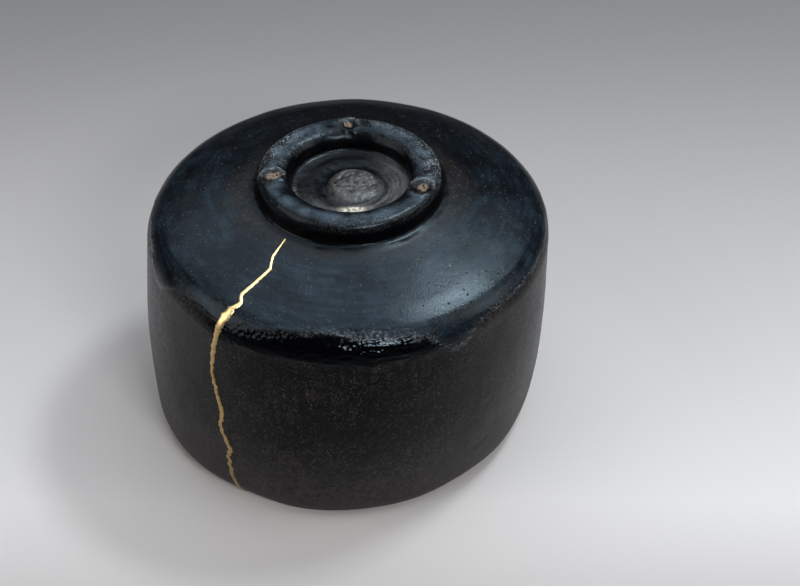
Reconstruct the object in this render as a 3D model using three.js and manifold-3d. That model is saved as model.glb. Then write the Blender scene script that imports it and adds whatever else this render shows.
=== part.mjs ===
// A black tea bowl, shaped by hand and mended with gold lacquer, standing mouth down on its rim.
// Millimetres, +Z up. The origin is on the surface it stands on, below the middle of the bowl.
// Two pieces: the fired clay bowl, and the lacquer seam that lies in the groove along its crack.
import * as THREE from "three";
import { mergeVertices } from "three/addons/utils/BufferGeometryUtils.js";
import Module from "manifold-3d";

// ---- Driving dimensions -------------------------------------------------------------------------
const WALL_RADIUS = 58.5; // outside of the wall at its widest
const HEIGHT = 86.4; // rim to the crest of the foot ring
const WALL = 5.2; // thickness of the wall at mid height
const LIP_RADIUS = 54; // outside of the lip
const LIP_FLAT = 1.6; // width of the flat that the lip stands on
const LIP_THICKNESS = 4.6;
const HIP_HEIGHT = 63.8; // where the wall starts to turn in to the base
const HIP_RADIUS = 9;
const BASE_SLOPE = 16; // degrees that the base falls from the foot to the hip
const RING_RADIUS = 21.8; // middle of the foot ring
const RING_HALF_WIDTH = 4.9;
const RING_FLAT = 1.4; // width of the worn flat on the ring's crest
const WELL_FLOOR = 80.9; // underside of the foot, inside the ring
const INNER_FLOOR = 74.4; // inside of the bowl, at the foot of its wall
const TEA_POOL = 1.4; // how far the middle of the inside is hollowed

const LEAN = new THREE.Vector2(2.0, -2.8); // how far the foot's middle stands from the mouth's
const LIP_LIFT = 0.6; // height of the low arches along the lip
const LIP_ARCHES = 5;

// The knob inside the foot ring, off the middle. Its edge winds outwards in a swirl and steps back.
const KNOB = { radius: 6.2, height: 1.9, edge: 1.8, east: 1.5, north: 0.2 };
const SWIRL = { growth: 1.9, start: 60, stepShare: 0.2 };

// Scars of the three stilts that the bowl was fired on: bearing round the ring in degrees, size along
// and across the ring, and depth. Each has a low rim of glaze round it.
const STILT_SCARS = [
  { bearing: 91, along: 2.2, across: 2.6, depth: 1.3 },
  { bearing: 188, along: 2.5, across: 3.6, depth: 1.0 },
  { bearing: 337, along: 3.2, across: 3.2, depth: 1.1 },
];
const SCAR_RIM = { height: 0.25, width: 0.3 };

const SEAM_PROUD = 0.35; // how far the lacquer stands above the glaze
const SEAM_DEPTH = 0.6; // how far it goes into the clay
const CLEARANCE = 0.3; // gap between the lacquer and the clay in this model
const SEAM_STEP = 2.0; // spacing of the seam's sections
const CROWN = 0.4; // the crown's flat, as a share of the seam's width
const CROWN_EDGE = 0.2; // height of the crown's edges, as a share of its own

// The crack's main bends on the outside, chosen by hand in round numbers: how far along the surface from
// the foot ring, bearing in degrees and width.
const CRACK = [
  [2, 233.5, 0.4],
  [7, 234, 0.8],
  [11, 237, 1],
  [22, 234.5, 1.2],
  [24, 236, 1.4],
  [30, 234, 2.6],
  [36, 233, 1.6],
  [42, 232, 1.8],
  [50, 231.5, 1],
  [64, 235, 1.6],
  [70, 234, 1.2],
  [79, 237, 1.6],
  [82, 236, 1.4],
  [90, 236.5, 1.4],
  [104, 239.5, 1],
];
// The same crack inside the bowl, plainer: how far along the surface from the lip, bearing and width.
const CRACK_INSIDE = [
  [4, 239, 1.2],
  [28, 236, 1.2],
  [52, 233.5, 1],
  [86, 236.5, 0.5],
];

const TURN_STEPS = 72; // facets round the bowl

// ---- The bowl's outline, from the middle of the foot, over the lip, to the middle of the inside ------
const radians = THREE.MathUtils.degToRad;

const splineThrough = (points, steps) =>
  new THREE.SplineCurve(points.map(([r, z]) => new THREE.Vector2(r, z))).getPoints(steps);

const arcAbout = (r, z, radius, from, to, steps) =>
  new THREE.EllipseCurve(r, z, radius, radius, radians(from), radians(to), to < from).getPoints(steps);

// The ring's section is a half round with a flat crest.
function ringOutline() {
  const low = HEIGHT - RING_HALF_WIDTH + RING_FLAT / 2;
  const half = RING_FLAT / 2;
  const radius = RING_HALF_WIDTH - half;
  return [
    ...arcAbout(RING_RADIUS - half, low, radius, 200, 90, 4),
    ...arcAbout(RING_RADIUS + half, low, radius, 90, -8, 4),
  ];
}

function hipCentre() {
  return new THREE.Vector2(WALL_RADIUS - HIP_RADIUS, HIP_HEIGHT);
}

// The base falls in a straight slope from the foot ring to the hip's arc.
function baseOutline() {
  const hip = hipCentre();
  const top = hip.clone().add(
    new THREE.Vector2(Math.sin(radians(BASE_SLOPE)), Math.cos(radians(BASE_SLOPE))).multiplyScalar(HIP_RADIUS),
  );
  const foot = new THREE.Vector2(RING_RADIUS + RING_HALF_WIDTH + 1.6, 0);
  foot.y = top.y + (top.x - foot.x) * Math.tan(radians(BASE_SLOPE));
  const slope = new THREE.LineCurve(foot, top).getPoints(4);
  return [...slope.slice(0, -1), ...arcAbout(hip.x, hip.y, HIP_RADIUS, 90 - BASE_SLOPE, 0, 5)];
}

function wallOutline() {
  return splineThrough(
    [
      [WALL_RADIUS, HIP_HEIGHT],
      [WALL_RADIUS, HEIGHT * 0.52],
      [WALL_RADIUS - 0.5, HEIGHT * 0.33],
      [WALL_RADIUS - 1.5, HEIGHT * 0.17],
      [LIP_RADIUS + 2.4, HEIGHT * 0.07],
      [LIP_RADIUS + 0.9, HEIGHT * 0.025],
    ],
    7,
  ).slice(1);
}

function lipOutline() {
  const outer = LIP_RADIUS - 1.5;
  const inner = LIP_RADIUS - LIP_THICKNESS;
  return [
    new THREE.Vector2(LIP_RADIUS - 0.3, 0.6),
    new THREE.Vector2(outer, 0),
    new THREE.Vector2(outer - LIP_FLAT, 0),
    new THREE.Vector2(inner + 0.4, 0.7),
    new THREE.Vector2(inner, 2.4),
  ];
}

function insideOutline() {
  const belly = WALL_RADIUS - WALL;
  return splineThrough(
    [
      [LIP_RADIUS - LIP_THICKNESS, 2.4],
      [belly - 2.9, HEIGHT * 0.13],
      [belly - 0.9, HEIGHT * 0.32],
      [belly, HEIGHT * 0.52],
      [belly - 1.0, HEIGHT * 0.67],
      [belly - 5.2, HEIGHT * 0.79],
      [belly - 12.5, INNER_FLOOR - 2.0],
      [belly - 26, INNER_FLOOR],
      [belly - 40, INNER_FLOOR + TEA_POOL * 0.6],
      [0, INNER_FLOOR + TEA_POOL],
    ],
    11,
  ).slice(1);
}

function wellOutline() {
  const edge = RING_RADIUS - RING_HALF_WIDTH;
  return splineThrough(
    [
      [0, WELL_FLOOR - 0.8],
      [8, WELL_FLOOR - 0.8],
      [edge - 3, WELL_FLOOR - 0.1],
      [edge - 0.6, WELL_FLOOR + 0.5],
    ],
    10,
  );
}

// ---- The hand that shaped it: a warp that every piece of the bowl shares -------------------------------
const smooth = (x) => THREE.MathUtils.smoothstep(x, 0, 1);

// Soft flats and swells that paring leaves in the wall, as a share of the radius. They fade at the hip.
function paring(bearing, z) {
  const height = z / HEIGHT;
  const oval = 0.011 * Math.sin(2 * bearing) * (1 - height) - 0.007 * Math.cos(2 * bearing) * height;
  const flats =
    0.0022 * Math.sin(4 * bearing + 3.2 * height + 0.6) +
    0.0022 * Math.sin(7 * bearing - 4 * height + 1) +
    0.0014 * Math.sin(11 * bearing + 6 * height + 2);
  return 1 + (oval + flats) * (1 - smooth((height - 0.7) / 0.2));
}

// How far the lip is off the surface it stands on: low arches with flat stretches between them.
// One arch lifts the seam clear of that surface.
function lipLift(bearing, z) {
  const seam = radians(CRACK.at(-1)[1]);
  const wave = Math.max(0, Math.cos(LIP_ARCHES * (bearing - seam)));
  return LIP_LIFT * wave * wave * (1 - smooth(z / (HEIGHT * 0.3)));
}

// The knob is only on the underside of the foot, which lies above the inside's floor.
function knobRise(x, y, z) {
  if (z < WELL_FLOOR - TEA_POOL) return 0;
  const east = x - KNOB.east;
  const north = y - KNOB.north;
  const turn = THREE.MathUtils.euclideanModulo(Math.atan2(north, east) + radians(SWIRL.start), 2 * Math.PI);
  const share = turn / (2 * Math.PI);
  const wound = Math.min(share / (1 - SWIRL.stepShare), (1 - share) / SWIRL.stepShare);
  const edge = KNOB.radius + SWIRL.growth * (wound - 0.5);
  return KNOB.height * smooth((edge - Math.hypot(east, north)) / KNOB.edge + 0.5);
}

function scarRise(x, y, z) {
  const crest = smooth((z - HEIGHT + RING_HALF_WIDTH) / (RING_HALF_WIDTH * 0.4));
  return STILT_SCARS.reduce((sum, scar) => {
    const bearing = radians(scar.bearing);
    const across = x * Math.cos(bearing) + y * Math.sin(bearing) - RING_RADIUS;
    const along = y * Math.cos(bearing) - x * Math.sin(bearing);
    const far = Math.hypot(across / scar.across, along / scar.along);
    const rim = SCAR_RIM.height * Math.exp(-(((far - 1.2) / SCAR_RIM.width) ** 2));
    return sum + crest * (rim - scar.depth * (1 - smooth(far / 1.1)));
  }, 0);
}

function warp(point) {
  const { x, y, z } = point;
  const bearing = Math.atan2(y, x);
  const swell = paring(bearing, z);
  const rise = lipLift(bearing, z) + knobRise(x, y, z) + scarRise(x, y, z);
  const lean = z / HEIGHT;
  return point.set(x * swell + LEAN.x * lean, y * swell + LEAN.y * lean, z + rise);
}

function warped(geometry) {
  const positions = geometry.getAttribute("position");
  const point = new THREE.Vector3();
  for (let i = 0; i < positions.count; i++) {
    warp(point.fromBufferAttribute(positions, i));
    positions.setXYZ(i, point.x, point.y, point.z);
  }
  return geometry;
}

// ---- The lacquer seam -----------------------------------------------------------------------------------
// The outside and inside of the bowl as one route in the outline's own plane, measured by its length.
function routeOverLip() {
  const points = [...baseOutline(), ...wallOutline(), ...lipOutline(), ...insideOutline()];
  const curve = new THREE.CatmullRomCurve3(
    points.map((p) => new THREE.Vector3(p.x, 0, p.y)),
    false,
    "centripetal",
  );
  curve.arcLengthDivisions = 800;
  return curve;
}

// Reads a crack table at a distance along it, between its rows: [bearing, width].
function readCrack(table, distance) {
  const next = table.findIndex(([at]) => at >= distance);
  if (next <= 0) return table.at(next).slice(1);
  const [a, b] = [table[next - 1], table[next]];
  const share = (distance - a[0]) / (b[0] - a[0]);
  return [1, 2].map((column) => THREE.MathUtils.lerp(a[column], b[column], share));
}

// A closed strip along the route. Each section is a low crowned band across the crack.
function strip(sideways, below, above, extra) {
  const route = routeOverLip();
  const length = route.getLength();
  const lipAt = CRACK.at(-1)[0];
  const table = [...CRACK, ...CRACK_INSIDE.map(([at, bearing, width]) => [lipAt + at, bearing, width])];
  const first = table[0][0] - extra;
  const last = table.at(-1)[0] + extra;
  const count = Math.round((last - first) / SEAM_STEP);
  const section = [
    [-1, -below],
    [1, -below],
    [1, above * CROWN_EDGE],
    [CROWN, above],
    [-CROWN, above],
    [-1, above * CROWN_EDGE],
  ];
  const vertices = [];
  for (let i = 0; i <= count; i++) {
    const distance = first + ((last - first) * i) / count;
    const [bearing, width] = readCrack(table, THREE.MathUtils.clamp(distance, table[0][0], table.at(-1)[0]));
    const at = route.getPointAt(distance / length);
    const along = route.getTangentAt(distance / length);
    const out = new THREE.Vector3(along.z, 0, -along.x).negate();
    for (const [across, height] of section) {
      const turn = radians(bearing) + (across * (width / 2 + sideways)) / at.x;
      const reach = at.x + out.x * height;
      vertices.push(warp(new THREE.Vector3(reach * Math.cos(turn), reach * Math.sin(turn), at.z + out.z * height)));
    }
  }
  return closedTube(vertices, section.length, count);
}

// Joins rings of points into a closed tube with flat ends.
function closedTube(vertices, sides, count) {
  const index = [];
  for (let i = 0; i < count; i++) {
    for (let j = 0; j < sides; j++) {
      const [a, b] = [i * sides + j, i * sides + ((j + 1) % sides)];
      index.push(a, b, b + sides, a, b + sides, a + sides);
    }
  }
  for (let j = 1; j < sides - 1; j++) {
    index.push(0, j + 1, j);
    index.push(count * sides, count * sides + j, count * sides + j + 1);
  }
  const geometry = new THREE.BufferGeometry().setFromPoints(vertices);
  return geometry.setIndex(index);
}

// ---- Solids ------------------------------------------------------------------------------------------------
const wasm = await Module();
wasm.setup();

function solidOf(geometry) {
  const bare = new THREE.BufferGeometry().setAttribute("position", geometry.getAttribute("position"));
  bare.setIndex(geometry.index);
  const merged = mergeVertices(bare, 1e-4);
  return new wasm.Manifold(
    new wasm.Mesh({
      numProp: 3,
      vertProperties: merged.attributes.position.array,
      triVerts: new Uint32Array(merged.index.array),
    }),
  );
}

function geometryOf(solid) {
  const { vertProperties, triVerts } = solid.getMesh();
  const geometry = new THREE.BufferGeometry();
  geometry.setAttribute("position", new THREE.BufferAttribute(vertProperties, 3));
  geometry.setIndex(new THREE.BufferAttribute(triVerts, 1));
  geometry.computeVertexNormals();
  return geometry;
}

// The lathe turns its outline about Y, so the blank is stood up along Z before it is warped.
function bowlGeometry() {
  const outline = [
    ...wellOutline(),
    ...ringOutline(),
    ...baseOutline(),
    ...wallOutline(),
    ...lipOutline(),
    ...insideOutline(),
  ];
  const blank = new THREE.LatheGeometry(outline.reverse(), TURN_STEPS).rotateX(Math.PI / 2);
  const groove = strip(CLEARANCE, SEAM_DEPTH + CLEARANCE, 1.2, CLEARANCE);
  return geometryOf(solidOf(warped(blank)).subtract(solidOf(groove)));
}

function seamGeometry() {
  return geometryOf(solidOf(strip(0, SEAM_DEPTH, SEAM_PROUD, 0)));
}

const glaze = new THREE.MeshStandardMaterial({ color: 0x0b0d11, roughness: 0.3, metalness: 0 });
const gold = new THREE.MeshStandardMaterial({ color: 0xc39a4d, roughness: 0.35, metalness: 1 });

function piece(name, geometry, material) {
  const mesh = new THREE.Mesh(geometry, material);
  mesh.name = name;
  return mesh;
}

const bowl = new THREE.Group();
bowl.add(piece("bowl", bowlGeometry(), glaze), piece("gold_seam", seamGeometry(), gold));

// The lean moves the bowl off centre, so it is set back over the origin.
const middle = new THREE.Box3().setFromObject(bowl).getCenter(new THREE.Vector3());
bowl.position.set(-middle.x, -middle.y, 0);

export default bowl;
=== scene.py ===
# A black tea bowl mended with gold lacquer, standing mouth down: glazed body, seam and studio.
# The outline runs from the middle of the foot, over the lip, to the middle of the inside.
# Lengths are metres. The relief and its masks count in millimetres, and bearings are in degrees
# from +X towards +Y, except where a comment says otherwise.
import math

import bmesh
import bpy
import numpy as np
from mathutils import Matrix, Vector, noise


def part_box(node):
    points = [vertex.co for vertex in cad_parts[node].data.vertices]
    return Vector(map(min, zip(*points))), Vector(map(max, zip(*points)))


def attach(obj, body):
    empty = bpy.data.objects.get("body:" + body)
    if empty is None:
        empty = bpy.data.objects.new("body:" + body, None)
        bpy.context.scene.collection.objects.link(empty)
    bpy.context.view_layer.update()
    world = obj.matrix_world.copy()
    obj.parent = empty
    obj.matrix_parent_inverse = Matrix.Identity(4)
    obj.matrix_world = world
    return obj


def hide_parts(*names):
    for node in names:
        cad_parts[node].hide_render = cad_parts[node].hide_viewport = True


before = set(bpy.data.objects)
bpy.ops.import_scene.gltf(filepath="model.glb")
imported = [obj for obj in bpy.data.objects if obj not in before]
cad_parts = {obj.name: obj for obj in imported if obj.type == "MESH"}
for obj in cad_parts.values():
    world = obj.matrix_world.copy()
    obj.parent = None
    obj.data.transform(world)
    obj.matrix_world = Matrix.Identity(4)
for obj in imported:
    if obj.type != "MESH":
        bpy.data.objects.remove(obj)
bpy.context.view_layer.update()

bl_info = {
    "name": "Mended tea bowl",
    "version": (1, 0, 0),
    "blender": (4, 5, 0),
    "location": "View3D > Sidebar > Tea bowl",
    "description": "Builds a hand-shaped black tea bowl with a gold lacquer seam, and a studio",
    "category": "Object",
}

MM = 0.001


# ---- Sizes and colours that a user would change ------------------------------------------------
def length(name, description, default):
    return bpy.props.FloatProperty(
        name=name, description=description, default=default, min=0.0, precision=5, unit="LENGTH"
    )


def colour(name, description, default):
    return bpy.props.FloatVectorProperty(
        name=name,
        description=description,
        default=default,
        min=0.0,
        max=1.0,
        size=3,
        subtype="COLOR",
    )


def power(name, description, default):
    return bpy.props.FloatProperty(
        name=name, description=description, default=default, min=0.0, unit="POWER"
    )


class BowlSizes(bpy.types.PropertyGroup):
    wall_radius: length("Wall radius", "Outside of the wall at its widest", 58.5 * MM)
    height: length("Height", "Rim to the crest of the foot ring", 86.4 * MM)
    wall: length("Wall", "Thickness of the wall at mid height", 5.2 * MM)
    lip_radius: length("Lip radius", "Outside of the lip", 54.0 * MM)
    lip_flat: length("Lip flat", "Width of the flat that the lip stands on", 1.6 * MM)
    lip_thickness: length("Lip thickness", "Thickness of the wall at the lip", 4.6 * MM)
    lip_lift: length("Lip lift", "Height of the low arches along the lip", 0.6 * MM)
    lip_arches: bpy.props.IntProperty(
        name="Lip arches", description="Arches along the lip", default=5, min=0
    )
    hip_height: length("Hip height", "Where the wall starts to turn in to the base", 63.8 * MM)
    hip_radius: length("Hip radius", "Radius of the turn from wall to base", 9.0 * MM)
    base_slope: bpy.props.FloatProperty(
        name="Base slope",
        description="How steeply the base falls from the foot to the hip",
        default=math.radians(16),
        unit="ROTATION",
    )
    ring_radius: length("Ring radius", "Middle of the foot ring", 21.8 * MM)
    ring_half_width: length("Ring half width", "Half the width of the foot ring", 4.9 * MM)
    ring_flat: length("Ring flat", "Width of the worn flat on the ring's crest", 1.4 * MM)
    well_floor: length("Well floor", "Height of the underside of the foot", 80.9 * MM)
    inner_floor: length("Inner floor", "Height of the floor inside", 74.4 * MM)
    tea_pool: length("Tea pool", "How far the middle of the inside is hollowed", 1.4 * MM)
    lean: bpy.props.FloatVectorProperty(
        name="Lean",
        description="How far the foot's middle stands from the mouth's",
        default=(3.0 * MM, -2.8 * MM),
        size=2,
        unit="LENGTH",
    )
    knob_radius: length("Knob radius", "Radius of the knob inside the foot ring", 6.2 * MM)
    knob_height: length("Knob height", "Height of the knob", 1.9 * MM)


class GlazeColours(bpy.types.PropertyGroup):
    slope_dark: colour("Base, dark", "Darker glaze on the base", (0.0014, 0.0014, 0.0018))
    # Bluish bloom on the base, which also stands for painted sheen where the base faces the light.
    slope_light: colour("Base, light", "Bluish bloom on the base", (0.0090, 0.0142, 0.0192))
    wall_dark: colour("Wall, dark", "Darker parts of the wall", (0.0004, 0.0003, 0.0005))
    wall_light: colour("Wall, light", "Brown tone of the wall", (0.0270, 0.0190, 0.0160))
    # Drier brown glaze towards the rim, which also stands for painted light from the floor on the
    # lower wall.
    wall_low_and_painted_light: colour("Wall, low", "Dry brown glaze towards the rim", (0.0340, 0.0285, 0.0275))
    speck: colour("Specks", "Ochre specks in the wall", (0.085, 0.064, 0.046))
    # Pooled black glaze, also used as painted shade on the foot ring's walls and just past the
    # ring's foot.
    soot_and_painted_shade: colour("Soot black", "Pooled or sheltered black glaze", (0.0005, 0.0005, 0.0008))
    # Grey-blue glaze on the ring's crest, which also stands for painted highlights along it.
    crest: colour("Ring crest", "Grey-blue glaze on the ring's crest", (0.040, 0.053, 0.065))
    # Pale deposit on the foot ring; also the colour of the painted glint along the glaze's edge.
    frost: colour("Frost", "Pale deposit on the foot ring", (0.21, 0.215, 0.215))
    halo: colour("Halo", "Brown-black glaze round the foot", (0.0060, 0.0050, 0.0048))
    # Grey skin of the well; its mask lays it only on the well's front and right, as painted light.
    well: colour("Well", "Grey skin on the underside of the foot", (0.080, 0.074, 0.068))
    knob: colour("Knob", "Worn grey of the knob in the well", (0.052, 0.045, 0.039))
    dust: colour("Dust", "Brown dust round the foot ring", (0.036, 0.030, 0.025))
    clay: colour("Clay", "Bare clay in the stilt scars", (0.125, 0.086, 0.058))
    # Cream ash; also the colour of a painted highlight along the well's front edge.
    ash: colour("Ash", "Cream ash at the edge of the well", (0.42, 0.37, 0.29))


class SeamLook(bpy.types.PropertyGroup):
    proud: length("Proud", "How far the lacquer stands above the glaze", 0.32 * MM)
    depth: length("Depth", "How far the lacquer goes into the clay", 0.5 * MM)
    gold: colour("Gold", "Burnished gold powder", (0.84, 0.60, 0.27))
    worn: colour("Worn gold", "Gold where it is rubbed thin", (0.50, 0.34, 0.145))
    dull: colour("Dull gold", "Gold near the rim, mixed with dust", (0.30, 0.215, 0.11))
    lacquer: colour("Lacquer", "Dark line of lacquer along the gold", (0.012, 0.006, 0.004))


class StudioLook(bpy.types.PropertyGroup):
    # near_floor is the painted lit colour of the floor, and the far floor colour is the painted
    # shade behind and in front of the bowl.
    near_floor: colour("Near floor", "Floor in front of the bowl", (0.418, 0.378, 0.354))
    far_floor_painted_shade: colour("Far floor", "Floor behind the bowl", (0.122, 0.111, 0.103))
    sky: power("Sky", "Large soft box overhead", 9.8)
    corner: power("Corner", "Soft box behind, at the right", 1.9)
    left_corner: power("Left corner", "Soft box behind, at the left", 1.1)
    key: power("Key", "Small soft box overhead, at the right", 4.8)
    side: power("Side", "Soft box at the far right", 3.4)
    front: power("Front", "Small box at the right, in front", 5.6)
    room: power("Room", "Soft light from the far left", 6.0)


# ---- The outline -------------------------------------------------------------------------------
def smooth(x):
    x = np.clip(x, 0, 1)
    return x * x * (3 - 2 * x)


def hill(x, middle, width):
    return np.exp(-(((x - middle) / width) ** 2))


def spline_through(points, steps=200):
    """An even Catmull-Rom spline through the points, as (radius, height) rows."""
    points = np.array(points, float)
    padded = np.vstack([points[:1], points, points[-1:]])
    t = np.linspace(0, len(points) - 1, steps + 1)
    first = np.minimum(t.astype(int), len(points) - 2)
    t = (t - first)[:, None]
    p0, p1, p2, p3 = (padded[first + k] for k in range(4))
    slope1, slope2 = (p2 - p0) / 2, (p3 - p1) / 2
    curve = (2 * p1 - 2 * p2 + slope1 + slope2) * t**3
    return curve + (-3 * p1 + 3 * p2 - 2 * slope1 - slope2) * t**2 + slope1 * t + p1


def arc_about(r, z, radius, start, end, steps=40):
    turn = np.radians(np.linspace(start, end, steps + 1))
    return np.column_stack([r + radius * np.cos(turn), z + radius * np.sin(turn)])


def ring_outline(s):
    """The ring's crest is round inside and squarer outside, where it drops steeply to the heel."""
    half = s.ring_flat / 2
    radius = s.ring_half_width - half
    low = s.height - radius
    inner = arc_about(s.ring_radius - half, low, radius, 200, 90)
    turn = np.radians(np.linspace(90, 0, 61))
    square = np.column_stack([np.cos(turn), np.sin(turn)]).clip(0, 1) ** 0.7
    outer = square * (0.9 * radius, radius) + (s.ring_radius + half, low)
    foot = base_outline(s)[0][0]
    bends = [outer[-1], foot + (-1.85 * MM, 1.1 * MM), foot + (-1.35 * MM, 0.42 * MM), foot]
    return np.vstack([inner, outer, spline_through(bends, 30)[1:]])


def base_outline(s):
    """The base falls from the foot ring, gently at first, and rolls over into the hip's arc."""
    turn_in = math.degrees(s.base_slope) + 6.5
    hip = arc_about(s.wall_radius - s.hip_radius, s.hip_height, s.hip_radius, 90 - turn_in, 0)
    slope = math.tan(s.base_slope)
    start = s.wall_radius - s.hip_radius + s.hip_radius * math.sin(s.base_slope)
    foot_r = s.ring_radius + s.ring_half_width + 1.6 * MM
    foot_z = s.hip_height + s.hip_radius * math.cos(s.base_slope) + (start - foot_r) * slope
    foot = np.array([foot_r, foot_z])
    run = np.linspace(0, 1, 61)
    fall = np.radians(turn_in - 7.5 * (1 - smooth((run - 0.66) / 0.34)))
    steps = np.column_stack([np.cos(fall), -np.sin(fall)])[:-1].cumsum(0)
    line = np.vstack([[0, 0], steps / steps[-1, 0]]) * (hip[0, 0] - foot_r)
    line[:, 1] *= (hip[0, 1] - foot_z) / line[-1, 1]
    return foot + line, hip


def wall_outline(s):
    return spline_through(
        [
            [s.wall_radius, s.hip_height],
            [s.wall_radius + 0.6 * MM, s.height * 0.52],
            [s.wall_radius + 0.5 * MM, s.height * 0.33],
            [s.wall_radius - 0.5 * MM, s.height * 0.17],
            [s.lip_radius + 2.8 * MM, s.height * 0.07],
            [s.lip_radius + 0.9 * MM, s.height * 0.025],
        ]
    )


def lip_outline(s):
    outer = s.lip_radius - 1.5 * MM
    inner = s.lip_radius - s.lip_thickness
    return np.array(
        [
            [s.lip_radius + 0.9 * MM, s.height * 0.025],
            [s.lip_radius - 0.3 * MM, 0.6 * MM],
            [outer, 0],
            [outer - s.lip_flat, 0],
            [inner + 0.4 * MM, 0.7 * MM],
            [inner, 2.4 * MM],
        ]
    )


def inside_outline(s):
    belly = s.wall_radius - s.wall
    return spline_through(
        [
            [s.lip_radius - s.lip_thickness, 2.4 * MM],
            [belly - 2.9 * MM, s.height * 0.13],
            [belly - 0.9 * MM, s.height * 0.32],
            [belly, s.height * 0.52],
            [belly - 1.0 * MM, s.height * 0.67],
            [belly - 5.2 * MM, s.height * 0.79],
            [belly - 12.5 * MM, s.inner_floor - 2.0 * MM],
            [belly - 26 * MM, s.inner_floor],
            [belly - 40 * MM, s.inner_floor + s.tea_pool * 0.6],
            [0, s.inner_floor + s.tea_pool],
        ]
    )


def well_outline(s):
    edge = s.ring_radius - s.ring_half_width
    return spline_through(
        [
            [0, s.well_floor - 0.5 * MM],
            [8 * MM, s.well_floor - 0.6 * MM],
            [edge - 3 * MM, s.well_floor - 1.0 * MM],
            [edge - 0.6 * MM, s.well_floor - 0.6 * MM],
        ]
    )


def resampled(points, spacing):
    """Points at even spacing along a line of points, both ends kept."""
    along = np.r_[0, np.cumsum(np.hypot(*np.diff(points, axis=0).T))]
    at = np.linspace(0, along[-1], max(1, round(along[-1] / spacing)) + 1)
    return np.column_stack([np.interp(at, along, points[:, k]) for k in (0, 1)])


# How far apart the outline's points are, closer where the relief is fine.
SPACING = {
    "well": 0.40 * MM,
    "ring": 0.42 * MM,
    "slope": 0.75 * MM,
    "hip": 0.38 * MM,
    "wall": 1.25 * MM,
    "lip": 0.6 * MM,
    "inside": 4.5 * MM,
}


def whole_outline(s):
    """All the sections. Gives the rows and their distance from the foot ring's outer edge, which
    is negative on the ring and in the well."""
    slope, hip = base_outline(s)
    sections = {
        "well": well_outline(s),
        "ring": ring_outline(s),
        "slope": slope,
        "hip": hip,
        "wall": wall_outline(s),
        "lip": lip_outline(s),
        "inside": inside_outline(s),
    }
    rows = np.vstack([resampled(points, SPACING[name]) for name, points in sections.items()])
    gaps = np.hypot(*np.diff(rows, axis=0).T)
    rows = rows[np.r_[True, gaps > 1e-6]]
    along = np.r_[0, np.cumsum(np.hypot(*np.diff(rows, axis=0).T))]
    foot = np.argmin(np.hypot(*(rows - slope[0]).T))
    return rows, along - along[foot]


# ---- The hand that shaped it: the warp that every piece of the bowl shares ---------------------
# The crack's main bends on the outside: millimetres from the foot ring, bearing, and width in
# millimetres.
CRACK = [
    [0.5, 233, 0.3],
    [7, 234, 1.0],
    [11, 237, 1.1],
    [22, 234.5, 1.3],
    [24, 236, 1.4],
    [29, 234, 3.0],
    [36, 233, 1.6],
    [42, 232, 1.8],
    [50, 231.5, 1.0],
    [64, 235, 1.6],
    [70, 234, 1.2],
    [79, 237, 1.6],
    [82, 236, 1.4],
    [90, 236.5, 1.4],
    [104, 239.5, 1.0],
]
# The same crack inside, with its distance taken from the lip.
CRACK_INSIDE = [
    [4, 239, 1.2],
    [28, 236, 1.2],
    [52, 233.5, 1.0],
    [86, 236.5, 0.5],
]
LIP_AT, LIP_BEARING = CRACK[-1][:2]


def crack_table():
    """The whole crack: distance from the foot, bearing and width, outside and then inside."""
    return np.array(CRACK + [[LIP_AT + d, b, w] for d, b, w in CRACK_INSIDE], float)


# Where the kiln's stilts tore the ring, in millimetres. Clay: how far the bare patch lies out and
# along from the scar's middle, then its reach both ways.
STILT_SCARS = [
    {"bearing": 91, "along": 2.2, "across": 2.6, "depth": 1.3, "clay": (0.2, 0.3, 1.5, 1.1)},
    {"bearing": 187, "along": 2.5, "across": 3.6, "depth": 1.0, "clay": (-0.2, 0.0, 2.9, 1.5)},
    {"bearing": 338, "along": 3.2, "across": 3.2, "depth": 1.1, "clay": (0.2, 0.3, 1.5, 1.5)},
]
KNOB_EAST = 1.5 * MM
KNOB_NORTH = 0.2 * MM


def paring(bearing, height):
    """Soft flats and swells that paring leaves in the wall, as a share of the radius. They fade at
    the hip. The bearing is in radians and the height is a share of the bowl's."""
    oval = 0.011 * np.sin(2 * bearing) * (1 - height) - 0.007 * np.cos(2 * bearing) * height
    flats = 0.0022 * np.sin(4 * bearing + 3.2 * height + 0.6)
    flats = flats + 0.0022 * np.sin(7 * bearing - 4 * height + 1)
    flats = flats + 0.0014 * np.sin(11 * bearing + 6 * height + 2)
    return 1 + (oval + flats) * (1 - smooth((height - 0.7) / 0.2))


def lip_lift(s, bearing, z):
    """Low arches along the lip, one of them at the crack. Bearings are in radians here."""
    wave = np.maximum(0, np.cos(s.lip_arches * (bearing - math.radians(LIP_BEARING))))
    return s.lip_lift * wave**2 * (1 - smooth(z / (s.height * 0.3)))


def warped(s, points):
    """Points of the true round as the hand left them: pared, leaning and arched at the lip."""
    x, y, z = points.T
    bearing = np.arctan2(y, x)
    share = z / s.height
    swell = paring(bearing, share)
    lifted = z + lip_lift(s, bearing, z)
    return np.column_stack([x * swell + s.lean[0] * share, y * swell + s.lean[1] * share, lifted])


# ---- Relief in the glaze -----------------------------------------------------------------------
def clouds(points, size, octaves=3, seed=0.0, where=None):
    """Fractal noise, about -1 to 1, in patches of the given size. It is 0 outside `where`."""
    values = np.zeros(len(points))
    chosen = slice(None) if where is None else where
    at = points[chosen] / size + seed
    values[chosen] = [noise.fractal(Vector(p), 1.0, 2.0, octaves) for p in at]
    return values


def cells(points, size, seed, where):
    """Distance to the nearest scattered point and to the next one, in cell sizes."""
    nearest, next_one = np.ones(len(points)), np.ones(len(points))
    found = [noise.voronoi(Vector(p))[0] for p in points[where] / size + seed]
    nearest[where] = [f[0] for f in found]
    next_one[where] = [f[1] for f in found]
    return nearest, next_one


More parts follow.
